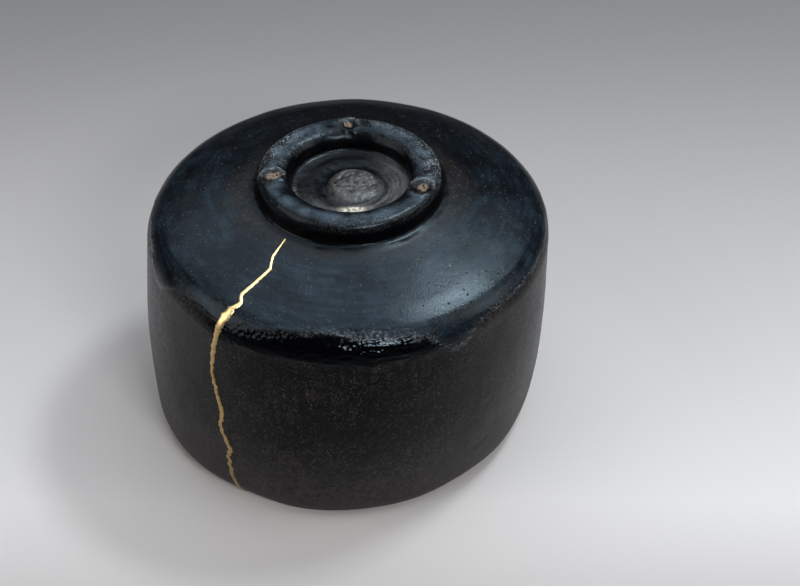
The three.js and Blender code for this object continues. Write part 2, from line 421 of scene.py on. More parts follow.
# Millimetres from the foot to the end of the bluish glaze, and to the end of its black pool.
GLAZE_REACH = 31.5
POOL_REACH = 36
# Where it ran further or stopped short: bearing, half width in degrees, and how far.
GLAZE_RUNS = [(62, 32, 3), (204, 7, 5), (262, 26, -4), (302, 6, 7)]
# The bearings where the pool begins and ends, and the one where it is thickest.
POOL_FROM, POOL_TO, POOL_MIDDLE = 222, 294, 276
# The relief starts to fade at the first of these and is gone at the second, short of the lip.
RELIEF_FADE, RELIEF_END = 90, 100


def glaze_edge(bearing, points, where):
    """The ragged lower edge of the bluish glaze."""
    runs = [run * hill(bearing, middle, width) for middle, width, run in GLAZE_RUNS]
    edge = GLAZE_REACH + sum(runs)
    edge = edge + 1.1 * clouds(points, 4 * MM, 3, 3.1, where)
    return edge + 0.7 * clouds(points, 1.6 * MM, 2, 7.7, where)


def clear_of_lip(d):
    """1 over the outside, fading to 0 at RELIEF_END."""
    return 1 - smooth((d - RELIEF_FADE) / (RELIEF_END - RELIEF_FADE))


def slow_swells(points, d):
    """Low swells over the whole outside, fading at the lip."""
    where = (d > 0) & (d < RELIEF_END)
    return 0.16 * clear_of_lip(d) * clouds(points, 16 * MM, 2, 0.4, where) * MM


def scar_frame(s, scar, x, y):
    """Distances across and along the ring from a scar's middle, in millimetres."""
    bearing = math.radians(scar["bearing"])
    across = (x * math.cos(bearing) + y * math.sin(bearing) - s.ring_radius) / MM
    along = (y * math.cos(bearing) - x * math.sin(bearing)) / MM
    return across, along


class Skin:
    """The bowl's surface before relief, and the masks that its colours and its relief share."""

    def __init__(self, s, blank, distance):
        self.s = s
        self.points = blank
        self.x, self.y, self.z = blank.T
        self.bearing = np.degrees(np.arctan2(self.y, self.x)) % 360
        self.from_behind = (self.bearing + 180) % 360  # for hills that lie across bearing 0
        self.radius = np.hypot(self.x, self.y)
        self.d = distance / MM
        self.from_middle = self.radius / MM
        self.outside = (self.d >= 0) & (self.d <= LIP_AT)
        self.underfoot = self.d < 0
        self.in_well = self.underfoot & (self.radius < s.ring_radius - s.ring_half_width * 0.75)
        self.on_ring = self.underfoot & ~self.in_well
        self.relief = np.zeros(len(blank))
        # Underfoot: black over the ring and the well, reaching just past the ring's foot; on the
        # ring's walls it is painted shade.
        self.masks = {"underfoot": 1 - smooth(self.d / 1.2 + 0.3)}

    def clouds(self, size, octaves=3, seed=0.0, where=None):
        return clouds(self.points, size * MM, octaves, seed, where)

    def raise_by(self, height):
        self.relief += height * MM

    def towards(self, bearing, width):
        """1 at the bearing, falling away on both sides of it, but not past bearing 0."""
        return hill(self.bearing, bearing, width)

    def glaze_band(self):
        """The bluish glaze ends in a ragged roll on the hip, over a thick black pool."""
        near = self.outside & (self.d > 12) & (self.d < 60)
        beyond = self.d - glaze_edge(self.bearing, self.points, near)
        bloom = np.where(self.outside, 1 - smooth((beyond + 0.5) / 1.0), 0)
        window = smooth((self.bearing - POOL_FROM) / 12)
        window = window * (1 - smooth((self.bearing - POOL_TO) / 5))
        low = POOL_REACH + 0.9 * self.clouds(4, 3, 1.3, near) + 0.6 * self.clouds(1.2, 2, 4.2, near)
        pool = window * smooth((beyond + 0.1) / 0.6) * (1 - smooth((self.d - low) / 0.9))
        far, next_far = cells(self.points, 1.9 * MM, 2.2, near)
        lumps = smooth((next_far - far) / 0.55)
        grain = self.clouds(0.9, 2, 9.9, near)
        middle = self.towards(POOL_MIDDLE, 17)
        roll = hill(beyond, -0.5, 0.8) * (0.4 + 0.6 * window)
        level = self.outside * (1 - smooth((self.d - 80) / 20))
        self.raise_by(near * 0.22 * roll - level * 0.12 * (1 - bloom))
        self.raise_by(near * pool * (0.16 + (0.12 + 0.22 * middle) * lumps + 0.07 * grain))
        crawl = near * window * hill(beyond, -1.5, 1.6) * (0.25 + 0.75 * middle)
        self.raise_by(crawl * (0.22 * grain - 0.16 * (far < 0.28) + 0.10 * lumps))
        tongues = np.clip(self.towards(303, 8) + 1.2 * self.towards(196, 14), 0, 1)
        self.masks["bloom"] = bloom
        # The bluish bloom with painted sheen; it fades almost away towards bearing 86, at the back,
        # as painted shade.
        self.masks["blue"] = bloom * (1 - 0.95 * self.towards(86, 72))
        self.masks["pool"] = pool
        self.masks["crawl"] = crawl
        # Painted glint: a pale line along the glaze's ragged edge, strongest on the tongues, at the
        # pool's middle and at bearing 324.
        rubbed = 0.75 * tongues + 0.45 * middle + 0.5 * self.towards(324, 18)
        edge_width = 0.5 + 0.8 * self.towards(198, 16)
        self.masks["brink"] = near * hill(beyond, -0.1, edge_width) * rubbed

    def hand_marks(self):
        """Slow swells, upright scraping on the wall and a tong's oval mark."""
        outside = self.outside & (self.d < RELIEF_END)
        free = clear_of_lip(self.d)
        on_wall = smooth((self.d - 38) / 6) * outside
        self.relief += slow_swells(self.points, self.d)
        self.raise_by(outside * free * 0.022 * self.clouds(1.8, 2, 8.3, outside & (self.d < 45)))
        upright = self.points * np.array([1, 1, 0.4])
        scrapes = clouds(upright, 2.4 * MM, 2, 2.9, outside & (self.d > 38))
        self.raise_by(on_wall * free * 0.045 * scrapes)
        across = np.radians(self.bearing - 314) * self.radius / MM
        up = self.z / MM - 25
        oval = np.hypot((across - 0.12 * up) / 4.3, up / 9.0)
        self.raise_by(on_wall * (0.10 * hill(oval, 1.2, 0.12) - 0.18 * hill(oval, 1.0, 0.12)))
        turned = np.column_stack([self.x / 9, self.y / 9, self.d * MM / 1.1])
        on_base = self.outside & (self.d < 42)
        strokes = clouds(turned, 1.0 * MM, 3, 5.5, on_base)
        self.masks["brushed"] = np.where(on_base, 0.5 + 0.9 * strokes, 0.5)
        # Towards the rim: drier, rougher glaze, and painted light from the floor on the lower wall.
        self.masks["low"] = outside * (1 - smooth((self.z / MM - 2) / 40)) ** 1.5
        self.masks["pin"] = outside * np.clip(self.towards(308, 16) * hill(self.d, 25, 7), 0, 1)

    def foot_ring(self):
        """The ring is lumpy where the glaze frosted, and three stilts have torn it to the clay."""
        on = self.on_ring
        frost = self.towards(152, 24) + hill(self.from_behind, 192, 26) + 0.5 * self.towards(60, 22)
        frost = np.clip(frost + 0.22 * self.towards(285, 34), 0, 1)
        up = (self.z - self.s.height) / MM
        crest = smooth((up + 3.3) / 2.2) * on
        fine = self.clouds(1.0, 3, 1.9, on)
        lumps = 0.16 * self.clouds(5, 2, 3.3, on) + 0.07 * self.clouds(2.2, 2, 6.2, on)
        self.raise_by(on * (lumps + 0.04 * fine))
        self.raise_by(crest * frost * 0.12 * self.clouds(0.8, 2, 5.1, on))
        clay, torn, rim = (np.zeros(len(self.z)) for _ in range(3))
        for scar in STILT_SCARS:
            across, along = scar_frame(self.s, scar, self.x, self.y)
            ragged = 0.22 * self.clouds(1.5, 3, scar["bearing"], on)
            far = np.hypot(across / scar["across"], along / scar["along"]) + ragged
            pit = 1 - smooth(far / 1.1)
            lip = hill(far, 1.15, 0.16)
            self.raise_by(crest * (0.42 * lip - scar["depth"] * pit + 0.30 * fine * pit))
            turn = math.radians(scar["bearing"])
            behind = smooth(0.35 + 0.22 * (across * math.sin(turn) + along * math.cos(turn)))
            rim = np.maximum(rim, crest * lip * behind)
            torn = np.maximum(torn, crest * (1 - smooth((far - 0.95) / 0.2)))
            out, aside, reach, breadth = scar["clay"]
            bare = np.hypot((across - out) / reach, (along - aside) / breadth) + 2.4 * ragged
            clay = np.maximum(clay, crest * (1 - smooth((bare - 0.75) / 0.35)))
        # Painted highlight on glaze: a streaky grey-blue band along the middle of the crest.
        streaky = np.clip(0.52 + 1.15 * self.clouds(5, 3, 4.6, on), 0.08, 1)
        top = hill((self.radius - self.s.ring_radius) / MM, 0.4, 2.1) * streaky
        self.masks["crest"] = crest * (1 - torn) * top
        self.masks["rim"] = rim
        outward = smooth((self.radius - self.s.ring_radius) / MM / 3 + 0.4)
        self.masks["frost"] = np.clip(crest * frost * (0.25 + 0.75 * outward) + 0.8 * rim, 0, 1)
        self.masks["clay"] = clay

    def foot_well(self):
        """The knob in the middle, wound like a snail, with a groove round its far side."""
        s = self.s
        east, north = self.x - KNOB_EAST, self.y - KNOB_NORTH
        reach = np.hypot(east, north) / MM
        angle = np.arctan2(north, east)
        turn = ((angle + math.radians(60)) % (2 * math.pi)) / (2 * math.pi)
        # The knob's edge winds outwards over four fifths of a turn and then steps back.
        wound = np.minimum(turn / 0.8, (1 - turn) / 0.2)
        well = self.in_well
        edge = s.knob_radius / MM + 0.5 + 1.5 * (wound - 0.5) + 0.35 * self.clouds(3, 2, 4.4, well)
        knob = smooth((edge - reach) / 3.2 + 0.5)
        side = 0.25 + 0.75 * (0.5 + 0.5 * np.cos(angle - math.radians(135)))
        groove = hill(reach, edge + 2.2, 2.1) * side
        slanted = np.column_stack([(east + north) / 3.0, east - north, 0 * east])
        ridges = smooth(0.5 + 1.3 * clouds(slanted, 1.2 * MM, 3, 8.8, well))
        rough = self.clouds(0.8, 3, 6.1, well)
        swirl = np.column_stack([reach * 1.1 + 2.2 * turn, angle * 1.3, angle * 0])
        swept = clouds(swirl, 1.0, 3, 3.7, well)
        rise = s.knob_height / MM * knob * (0.14 + 0.56 * side) - 0.55 * groove * (1 - knob)
        rise = rise + knob * (0.26 * ridges + 0.22 * swept) + 0.03 * rough
        rise = rise + 0.12 * self.clouds(4, 2, 0, well)
        rise = rise + 0.5 * hill(np.degrees(angle), 42, 26) * hill(reach, edge - 0.4, 0.6)
        rise = rise + 0.4 * hill(np.degrees(angle), -25, 14) * hill(reach, edge + 0.3, 0.6)
        self.raise_by(well * rise)
        level = 1 - smooth((self.z - s.well_floor) / MM + 0.2)
        ragged = self.clouds(1.2, 3, 2.7, well)
        # The patch at the front is cream ash; the pale line along the well's edge on its front
        # half, where the floor rises to the ring, is painted highlight.
        patch = self.towards(277, 15) * smooth((self.from_middle - 9.0) / 2.4)
        half_round = smooth(0.15 - 1.4 * np.sin(np.radians(self.bearing + 8)))
        line = 0.30 * half_round * hill(self.from_middle, 15.7 - 1.6 * self.towards(272, 34), 0.5)
        ash = patch * (1.5 + 1.8 * ragged) + line * (1 + ragged)
        self.masks["ash"] = np.clip(well * level * ash, 0, 1)
        # Painted light and shade: the grey skin is laid on the well's front and right and fades out
        # towards the back, and painted shade darkens the groove round the knob.
        shelter = np.clip(groove * (1 - knob) * 1.5, 0, 1)
        brushed = np.clip(0.55 + 0.95 * swept + 0.4 * rough, 0, 1)
        painted_light = 0.05 + 0.95 * smooth(0.42 - 0.62 * np.sin(np.radians(self.bearing - 40)))
        self.masks["well"] = well * level * painted_light * (1 - 0.97 * shelter) * (0.2 + 0.8 * brushed)
        worn = np.clip(0.55 + 0.8 * swept + 0.45 * (ridges - 0.5), 0, 1)
        self.masks["knob"] = well * smooth((edge + 0.6 - reach) / 1.6 + 0.5) * worn

    def dusty_foot(self):
        """Brown dust and grains round the ring's outer edge, thickest at its sides."""
        foot = self.outside & (self.d < 12)
        both = self.towards(190, 28) + hill(self.from_behind, 186, 26)
        sides = 0.2 + 0.8 * np.clip(both, 0, 1)
        patchy = np.clip(0.55 + 0.9 * self.clouds(4, 3, 5.9, foot), 0, 1)
        self.masks["dust"] = hill(self.d, 2.2, 3.6) * foot * sides * patchy
        wide = 3.2 + 4.5 * sides + 2.2 * self.clouds(7, 3, 6.6, self.outside & (self.d < 24))
        self.masks["halo"] = self.outside * (1 - smooth((self.d / wide - 0.35) / 1.0))
        grain = np.maximum(0, self.clouds(0.9, 2, 7.1, foot))
        self.raise_by(hill(self.d, 1.2, 2.2) * foot * 0.10 * grain)

    def clear_the_crack(self):
        """Close to the crack the glaze lies level, so that the lacquer stands proud of it."""
        crack = crack_table()
        middle = np.interp(self.d, crack[:, 0], crack[:, 1])
        half = np.interp(self.d, crack[:, 0], crack[:, 2]) / 2
        aside = np.abs(np.radians(self.bearing - middle)) * self.radius / MM - half
        level = slow_swells(self.points, self.d)
        close = (1 - smooth((aside - 0.2) / 1.0)) * (self.d > 0)
        self.relief = self.relief * (1 - close) + level * close


# ---- Modelling helpers -------------------------------------------------------------------------
def deselect_all():
    bpy.ops.object.select_all(action="DESELECT")


def points_of(piece, what="co"):
    flat = np.empty(len(piece.data.vertices) * 3)
    piece.data.vertices.foreach_get(what, flat)
    return flat.reshape(-1, 3)


def place_points(piece, points):
    piece.data.vertices.foreach_set("co", points.ravel())
    piece.data.update()


def normals_of(piece):
    return points_of(piece, "normal")


def paint(piece, name, values):
    mask = piece.data.attributes.new(name, "FLOAT", "POINT")
    mask.data.foreach_set("value", values.astype(np.float32))


def spun(name, rows, sectors, start):
    """Draws an open line along the rows and spins it about Z in sectors of (angle, steps)."""
    deselect_all()
    widest = rows[:, 0].max()
    bpy.ops.mesh.primitive_circle_add(vertices=len(rows), radius=widest, enter_editmode=True)
    piece = bpy.context.object
    piece.name = piece.data.name = name
    line = bmesh.from_edit_mesh(piece.data)
    line.edges.ensure_lookup_table()
    last = next(e for e in line.edges if {v.index for v in e.verts} == {0, len(rows) - 1})
    line.edges.remove(last)
    line.verts.ensure_lookup_table()
    for vertex, (r, z) in zip(line.verts, rows):
        vertex.co = (r * math.cos(start), r * math.sin(start), z)
    bmesh.update_edit_mesh(piece.data)
    bpy.ops.mesh.select_all(action="SELECT")
    for angle, steps in sectors:
        bpy.ops.mesh.spin(steps=steps, angle=angle, center=(0, 0, 0), axis=(0, 0, 1))
    bpy.ops.mesh.select_all(action="SELECT")
    bpy.ops.mesh.remove_doubles(threshold=1e-6)
    bpy.ops.mesh.normals_make_consistent(inside=False)
    bpy.ops.object.mode_set(mode="OBJECT")
    return piece


def finish_piece(piece, material, node):
    piece.data.materials.append(material)
    deselect_all()
    piece.select_set(True)
    bpy.context.view_layer.objects.active = piece
    bpy.ops.object.shade_smooth()
    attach(piece, "root")
    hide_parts(node)


# ---- Materials ---------------------------------------------------------------------------------
class Graph:
    """A short way to add and join shader nodes."""

    def __init__(self, name):
        self.material = bpy.data.materials.new(name)
        self.material.use_nodes = True
        self.nodes = self.material.node_tree.nodes
        self.links = self.material.node_tree.links
        self.shader = self.nodes["Principled BSDF"]
        self.coords = self.nodes.new("ShaderNodeTexCoord").outputs["Object"]

    def put(self, socket, value):
        if isinstance(value, bpy.types.NodeSocket):
            self.links.new(value, socket)
        elif socket.type == "RGBA" and len(value) == 3:
            socket.default_value = (*value, 1)
        else:
            socket.default_value = value

    def mask(self, name):
        node = self.nodes.new("ShaderNodeAttribute")
        node.attribute_name = name
        return node.outputs["Fac"]

    def along(self, axis):
        node = self.nodes.new("ShaderNodeSeparateXYZ")
        self.put(node.inputs[0], self.coords)
        return node.outputs[axis]

    def stretched(self, scale):
        node = self.nodes.new("ShaderNodeMapping")
        self.put(node.inputs["Vector"], self.coords)
        node.inputs["Scale"].default_value = scale
        return node.outputs["Vector"]

    def noise(self, size, detail=3.0, rough=0.55, vector=None):
        node = self.nodes.new("ShaderNodeTexNoise")
        self.put(node.inputs["Vector"], vector or self.coords)
        node.inputs["Scale"].default_value = 1 / size
        node.inputs["Detail"].default_value = detail
        node.inputs["Roughness"].default_value = rough
        return node.outputs["Fac"]

    def dots(self, size):
        node = self.nodes.new("ShaderNodeTexVoronoi")
        self.put(node.inputs["Vector"], self.coords)
        node.inputs["Scale"].default_value = 1 / size
        return node.outputs["Distance"], node.outputs["Color"]

    def span(self, value, low, high, to_low=0.0, to_high=1.0):
        node = self.nodes.new("ShaderNodeMapRange")
        node.interpolation_type = "SMOOTHSTEP"
        self.put(node.inputs["Value"], value)
        ends = {"From Min": low, "From Max": high, "To Min": to_low, "To Max": to_high}
        for name, number in ends.items():
            node.inputs[name].default_value = number
        return node.outputs["Result"]

    def maths(self, operation, a, b):
        node = self.nodes.new("ShaderNodeMath")
        node.operation = operation
        self.put(node.inputs[0], a)
        self.put(node.inputs[1], b)
        return node.outputs["Value"]

    def times(self, a, b):
        return self.maths("MULTIPLY", a, b)

    def broken(self, mask, pattern, low, high, to_low=0.0, to_high=1.0):
        """The mask, let through only where the pattern is strong."""
        return self.times(mask, self.span(pattern, low, high, to_low, to_high))

    def mix(self, factor, a, b):
        node = self.nodes.new("ShaderNodeMix")
        node.data_type = "RGBA"
        self.put(node.inputs["Factor"], factor)
        self.put(node.inputs[6], a)
        self.put(node.inputs[7], b)
        return node.outputs[2]

    def blend(self, factor, a, b):
        node = self.nodes.new("ShaderNodeMix")
        self.put(node.inputs["Factor"], factor)
        self.put(node.inputs[2], a)
        self.put(node.inputs[3], b)
        return node.outputs[0]

    def bump(self, height, strength, distance, under=None):
        node = self.nodes.new("ShaderNodeBump")
        self.put(node.inputs["Strength"], strength)
        node.inputs["Distance"].default_value = distance
        self.put(node.inputs["Height"], height)
        if under:
            self.put(node.inputs["Normal"], under)
        return node.outputs["Normal"]


def slope_colour(g, c, fine, grain):
    """The base's glaze: a brushed bluish bloom on black with painted sheen that fades to painted
    shade at the back, browner round the foot.
    """
    shade = g.broken(g.mask("blue"), g.noise(9 * MM, 5, 0.68), 0.28, 0.72)
    shade = g.broken(shade, grain, 0.25, 0.70, 0.55, 1.0)
    shade = g.broken(shade, g.mask("brushed"), 0.1, 0.9, 0.55, 1.3)
    slope = g.mix(shade, c.slope_dark, c.slope_light)
    return g.mix(g.broken(g.mask("halo"), fine, 0.30, 0.60, 0.55, 1.0), slope, c.halo)


def wall_colour(g, c, mottle, fine):
    """The wall's glaze: gritty brown on black, drier and painted lighter towards the rim as painted
    light from the floor, and painted darker towards the top as painted shade.
    """
    streaks = g.noise(2.2 * MM, 5, 0.75, g.stretched((1, 1, 0.5)))
    gritty = g.noise(0.75 * MM, 4, 0.8)
    tone = g.maths("ADD", g.times(mottle, 0.2), g.times(streaks, 0.25))
    tone = g.maths("ADD", tone, g.times(gritty, 0.55))
    # Painted shade: the wall's tone is darker towards its top.
    tone = g.times(g.span(tone, 0.495, 0.57), g.span(g.mask("low"), 0.0, 0.25, 0.6, 1.0))
    wall = g.mix(tone, c.wall_dark, c.wall_light)
    return g.mix(g.broken(g.mask("low"), fine, 0.30, 0.66, 0.35, 1.0), wall, c.wall_low_and_painted_light)


def glaze_material(c):
    """Black glaze: bluish and satin on the base, brown and dull on the wall, wet between them."""
    g = Graph("black glaze")
    bloom, pool, crawl = g.mask("bloom"), g.mask("pool"), g.mask("crawl")
    underfoot, well = g.mask("underfoot"), g.mask("well")
    broad, fine, grain = g.noise(14 * MM, 3), g.noise(1.6 * MM, 4, 0.6), g.noise(0.45 * MM, 3, 0.6)
    mottle = g.maths("ADD", g.times(broad, 0.55), g.times(fine, 0.45))

    near, tint = g.dots(0.75 * MM)
    speck = g.times(g.span(near, 0.32, 0.14), g.span(tint, 0.50, 0.72))
    wall = wall_colour(g, c, mottle, fine)
    wall = g.mix(g.broken(speck, broad, 0.35, 0.65, 0.22, 0.70), wall, c.speck)
    base = g.mix(bloom, wall, slope_colour(g, c, fine, grain))
    base = g.mix(g.broken(speck, fine, 0.42, 0.62, 0.0, 0.75), base, c.speck)
    base = g.mix(pool, base, c.soot_and_painted_shade)

    # Painted shade: black over the ring's walls and just past its foot; the crest, well and knob
    # are painted over it.
    base = g.mix(underfoot, base, c.soot_and_painted_shade)
    # The crest's grey-blue: partly glaze, partly painted highlight.
    base = g.mix(g.broken(g.mask("crest"), grain, 0.3, 0.65, 0.35, 1.0), base, c.crest)
    # Painted light: the well's grey where its mask paints the lit side, with painted shade in the
    # groove.
    base = g.mix(g.broken(well, grain, 0.3, 0.6, 0.55, 1.0), base, c.well)
    base = g.mix(g.broken(g.mask("knob"), grain, 0.3, 0.65, 0.5, 1.0), base, c.knob)

    flecks = g.span(g.noise(0.42 * MM, 4, 0.8), 0.52, 0.61)
    frosted = g.broken(g.times(g.mask("frost"), flecks), g.noise(3.2 * MM, 3), 0.32, 0.54)
    arcs = g.broken(g.mask("rim"), g.noise(1.1 * MM, 4, 0.7), 0.42, 0.60, 0.0, 0.5)
    frosted = g.maths("MAXIMUM", frosted, arcs)
    # Painted glint along the glaze's edge, in the frost colour.
    rubbed = g.broken(g.mask("brink"), g.noise(0.8 * MM, 4, 0.8), 0.47, 0.60, 0.0, 0.8)
    rusty = g.broken(crawl, g.noise(2.4 * MM, 5, 0.75), 0.54, 0.62, 0.0, 0.8)
    dusty = g.broken(g.mask("dust"), g.noise(0.6 * MM, 4, 0.75), 0.42, 0.66, 0.0, 0.7)
    clay = g.broken(g.mask("clay"), g.noise(0.8 * MM, 3), 0.36, 0.52)
    ash = g.broken(g.mask("ash"), g.noise(0.9 * MM, 4, 0.7), 0.35, 0.55)
    pin_near, pin_tint = g.dots(1.9 * MM)
    pinholes = g.times(g.span(pin_near, 0.17, 0.10), g.span(pin_tint, 0.45, 0.5))
    hole = g.broken(pinholes, g.mask("pin"), 0.1, 0.5)
    marks = (
        (frosted, c.frost),
        (rubbed, c.frost),
        (rusty, c.dust),
        (dusty, c.dust),
        (clay, c.clay),
        (ash, c.ash),
        (hole, c.soot_and_painted_shade),
    )
    for mark, tone in marks:
        base = g.mix(mark, base, tone)
    g.put(g.shader.inputs["Base Color"], base)
    g.shader.inputs["Specular IOR Level"].default_value = 0.13
    g.shader.inputs["Specular Tint"].default_value = (0.80, 0.94, 1.0, 1)

    dull = g.maths("ADD", g.span(fine, 0.3, 0.7, 0.26, 0.36), g.times(g.mask("low"), 0.18))
    rough = g.blend(bloom, dull, g.span(mottle, 0.3, 0.7, 0.15, 0.20))
    finishes = (
        (g.maths("MAXIMUM", underfoot, g.mask("halo")), 0.27),
        (pool, 0.11),
        (frosted, 0.6),
        (well, 0.3),
        (clay, 0.9),
        (g.maths("MAXIMUM", ash, hole), 0.75),
    )
    for where, roughness in finishes:
        rough = g.blend(where, rough, roughness)
    g.put(g.shader.inputs["Roughness"], rough)

    lumps = g.dots(1.25 * MM)[0]
    thick = g.times(lumps, g.maths("MAXIMUM", g.times(pool, 0.5), crawl))
    skin = g.bump(thick, 0.8, -0.30 * MM)
    rippled = g.blend(pool, g.blend(bloom, g.blend(underfoot, 0.55, 0.12), 0.34), 0.16)
    skin = g.bump(g.noise(0.9 * MM, 4, 0.7), rippled, 0.12 * MM, skin)
    grainy = g.blend(pool, g.span(crawl, 0.1, 0.9, 0.34, 0.8), 0.14)
    skin = g.bump(grain, grainy, 0.10 * MM, skin)
    g.put(g.shader.inputs["Normal"], g.bump(hole, 0.8, -0.25 * MM, skin))
    return g.material


def gold_material(look):
    """Gold powder burnished on lacquer, rubbed thin here and there and duller towards the rim."""
    g = Graph("gold lacquer")
    height = g.along("Z")
    worn = g.span(g.noise(2.4 * MM, 4, 0.6), 0.55, 0.72, 0.0, 0.6)
    worn = g.maths("MAXIMUM", worn, g.span(height, 0.074, 0.058))
    gold = g.mix(worn, look.gold, look.worn)
    dull = g.broken(g.span(height, 0.034, 0.006), g.noise(1.0 * MM, 4, 0.7), 0.36, 0.60)
    gold = g.mix(dull, gold, look.dull)
    bare = g.span(g.mask("border"), 0.72, 0.92)
    g.put(g.shader.inputs["Base Color"], g.mix(bare, gold, look.lacquer))
    g.put(g.shader.inputs["Metallic"], g.span(bare, 0, 1, 1, 0))
    g.put(g.shader.inputs["Roughness"], g.span(g.noise(0.8 * MM, 3), 0.3, 0.7, 0.30, 0.46))
    g.put(g.shader.inputs["Normal"], g.bump(g.noise(0.35 * MM, 3, 0.6), 0.25, 0.05 * MM))
    return g.material


def floor_material(look):
    """Matt paper with painted light falloff: palest round the front of the bowl, painted darker
    both behind it and in front.
    """
    g = Graph("pale paper")
    depth = g.along("Y")
    # Painted light falloff: pale round the front of the bowl, painted shade behind it and in front.
    pale = g.maths("MINIMUM", g.span(depth, 0.26, -0.12), g.span(depth, -0.17, -0.02))
    fibres = g.times(g.noise(0.5 * MM, 4, 0.8), 0.14)
    pale = g.maths("ADD", g.maths("SUBTRACT", pale, 0.07), fibres)
    g.put(g.shader.inputs["Base Color"], g.mix(pale, look.far_floor_painted_shade, look.near_floor))
    g.shader.inputs["Roughness"].default_value = 0.9
    g.shader.inputs["Specular IOR Level"].default_value = 0.1
    return g.material


# ---- The pieces --------------------------------------------------------------------------------
# The outline is spun through a finely stepped front, and then through a coarser back.
FRONT_START = math.radians(225)
SECTORS = [(math.radians(115), 232), (math.radians(245), 140)]

SEAM_STRIPS = 10
SEAM_STEP = 0.3  # millimetres
SEAM_SPREAD = 1.12  # how much wider the lacquer is than the crack
SEAM_TUCK = 0.12 * MM  # how deep the lacquer's edges lie under the glaze


def set_over_origin(points):
    """The lean moves the bowl off centre, so it goes back over the middle of the CAD bowl's box."""
    low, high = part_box("bowl")
    middle = (Vector(low) + Vector(high)) / 2
    shift = np.array(middle) - (points.min(0) + points.max(0)) / 2
    return points + np.array([shift[0], shift[1], 0])


def fractals(places, octaves):
    return np.array([noise.fractal(Vector(place), 1.0, 2.0, octaves) for place in places])


def round_z(r, turn, z):
    """Points at the given radii, turns about Z and heights."""
    return np.column_stack([r * np.cos(turn), r * np.sin(turn), z])


class TEABOWL_OT_body(bpy.types.Operator):
    """Model the glazed clay bowl: spin its outline, warp it by hand and raise the glaze's relief"""

    bl_idname = "teabowl.body"
    bl_label = "Clay bowl"

    def execute(self, context):
        s = context.scene.bowl_sizes
        rows, distances = whole_outline(s)
        body = spun("bowl_body", rows, SECTORS, FRONT_START)
        blank = points_of(body)
        reach = np.column_stack([np.hypot(blank[:, 0], blank[:, 1]), blank[:, 2]])
        nearest = np.array([np.argmin(((rows - p) ** 2).sum(1)) for p in reach])
        skin = Skin(s, blank, distances[nearest])
        skin.glaze_band()
        skin.hand_marks()
        skin.foot_ring()
        skin.foot_well()
        skin.dusty_foot()
        skin.clear_the_crack()
        place_points(body, set_over_origin(warped(s, blank)))
        place_points(body, points_of(body) + normals_of(body) * skin.relief[:, None])
        for name, values in skin.masks.items():
            paint(body, name, values)
        finish_piece(body, glaze_material(context.scene.glaze_colours), "bowl")
        return {"FINISHED"}


class TEABOWL_OT_seam(bpy.types.Operator):
    """Lay the gold lacquer along the crack, over the lip and up the inside"""

    bl_idname = "teabowl.seam"
    bl_label = "Gold seam"

    def execute(self, context):
        s, look = context.scene.bowl_sizes, context.scene.seam_look
        rows, distances = whole_outline(s)
        crack = crack_table()
        start, end = crack[0, 0], crack[-1, 0]
        count = round((end - start) / SEAM_STEP)
        at = np.linspace(start, end, count + 1)
        on_outside = 1 - smooth((at - 92) / 8)
        kinks = fractals([(d / 1.7, 7, 0) for d in at], 2)
        r = np.interp(at * MM, distances, rows[:, 0])
        z = np.interp(at * MM, distances, rows[:, 1])
        wander = 0.5 * MM * kinks * smooth((at - 20) / 8) * on_outside
        bearing = np.radians(np.interp(at, crack[:, 0], crack[:, 1])) + wander / r
        half = np.interp(at, crack[:, 0], crack[:, 2]) / 2 * MM
        tangent = np.gradient(np.column_stack([r, z]), axis=0)
        tangent /= np.hypot(*tangent.T)[:, None]
        out_r, out_z = -tangent[:, 1], tangent[:, 0]

        deselect_all()
        bpy.ops.mesh.primitive_grid_add(x_subdivisions=SEAM_STRIPS, y_subdivisions=count, size=2)
        seam = bpy.context.object
        seam.name = seam.data.name = "gold_seam_skin"
        flat = points_of(seam)
        side = -flat[:, 0]
        i = np.rint((flat[:, 1] + 1) / 2 * count).astype(int)
        middle = round_z(r[i], bearing[i], z[i])
        edges = fractals([(d / 0.9, 4 * w, 0) for d, w in zip(at[i], np.sign(side))], 3)
        uneven = 1 + 0.42 * edges * np.abs(side) * smooth((at[i] - 12) / 6)
        turn = bearing[i] + side * (half[i] * SEAM_SPREAD * uneven) / r[i]
        crown = (1 - np.abs(side) ** 3) * (look.proud + SEAM_TUCK) - SEAM_TUCK
        crown = crown + 0.03 * MM * clouds(middle + side[:, None] * 0.0004, 1.0 * MM, 2, 1.1)
        crown = crown + slow_swells(middle, at[i])
        laid = round_z(r[i] + out_r[i] * crown, turn, z[i] + out_z[i] * crown)
        place_points(seam, warped(s, laid) + self.offset(s, rows))
        ragged = 0.22 * clouds(middle + side[:, None] * 0.002, 0.8 * MM, 2, 3.3)
        paint(seam, "border", np.abs(side) + ragged - 0.04)
        body_skin = seam.modifiers.new("body", "SOLIDIFY")
        body_skin.thickness = look.depth
        body_skin.offset = -1
        bpy.context.view_layer.objects.active = seam
        bpy.ops.object.modifier_apply(modifier=body_skin.name)
        finish_piece(seam, gold_material(look), "gold_seam")
        return {"FINISHED"}

    def offset(self, s, rows):
        """The same step back over the origin as the bowl takes."""
        turns = np.radians(np.arange(0, 360, 0.5))
        r, z = (np.repeat(column, len(turns)) for column in rows[::3].T)
        blank = warped(s, round_z(r, np.tile(turns, len(rows[::3])), z))
        return set_over_origin(blank)[0] - blank[0]


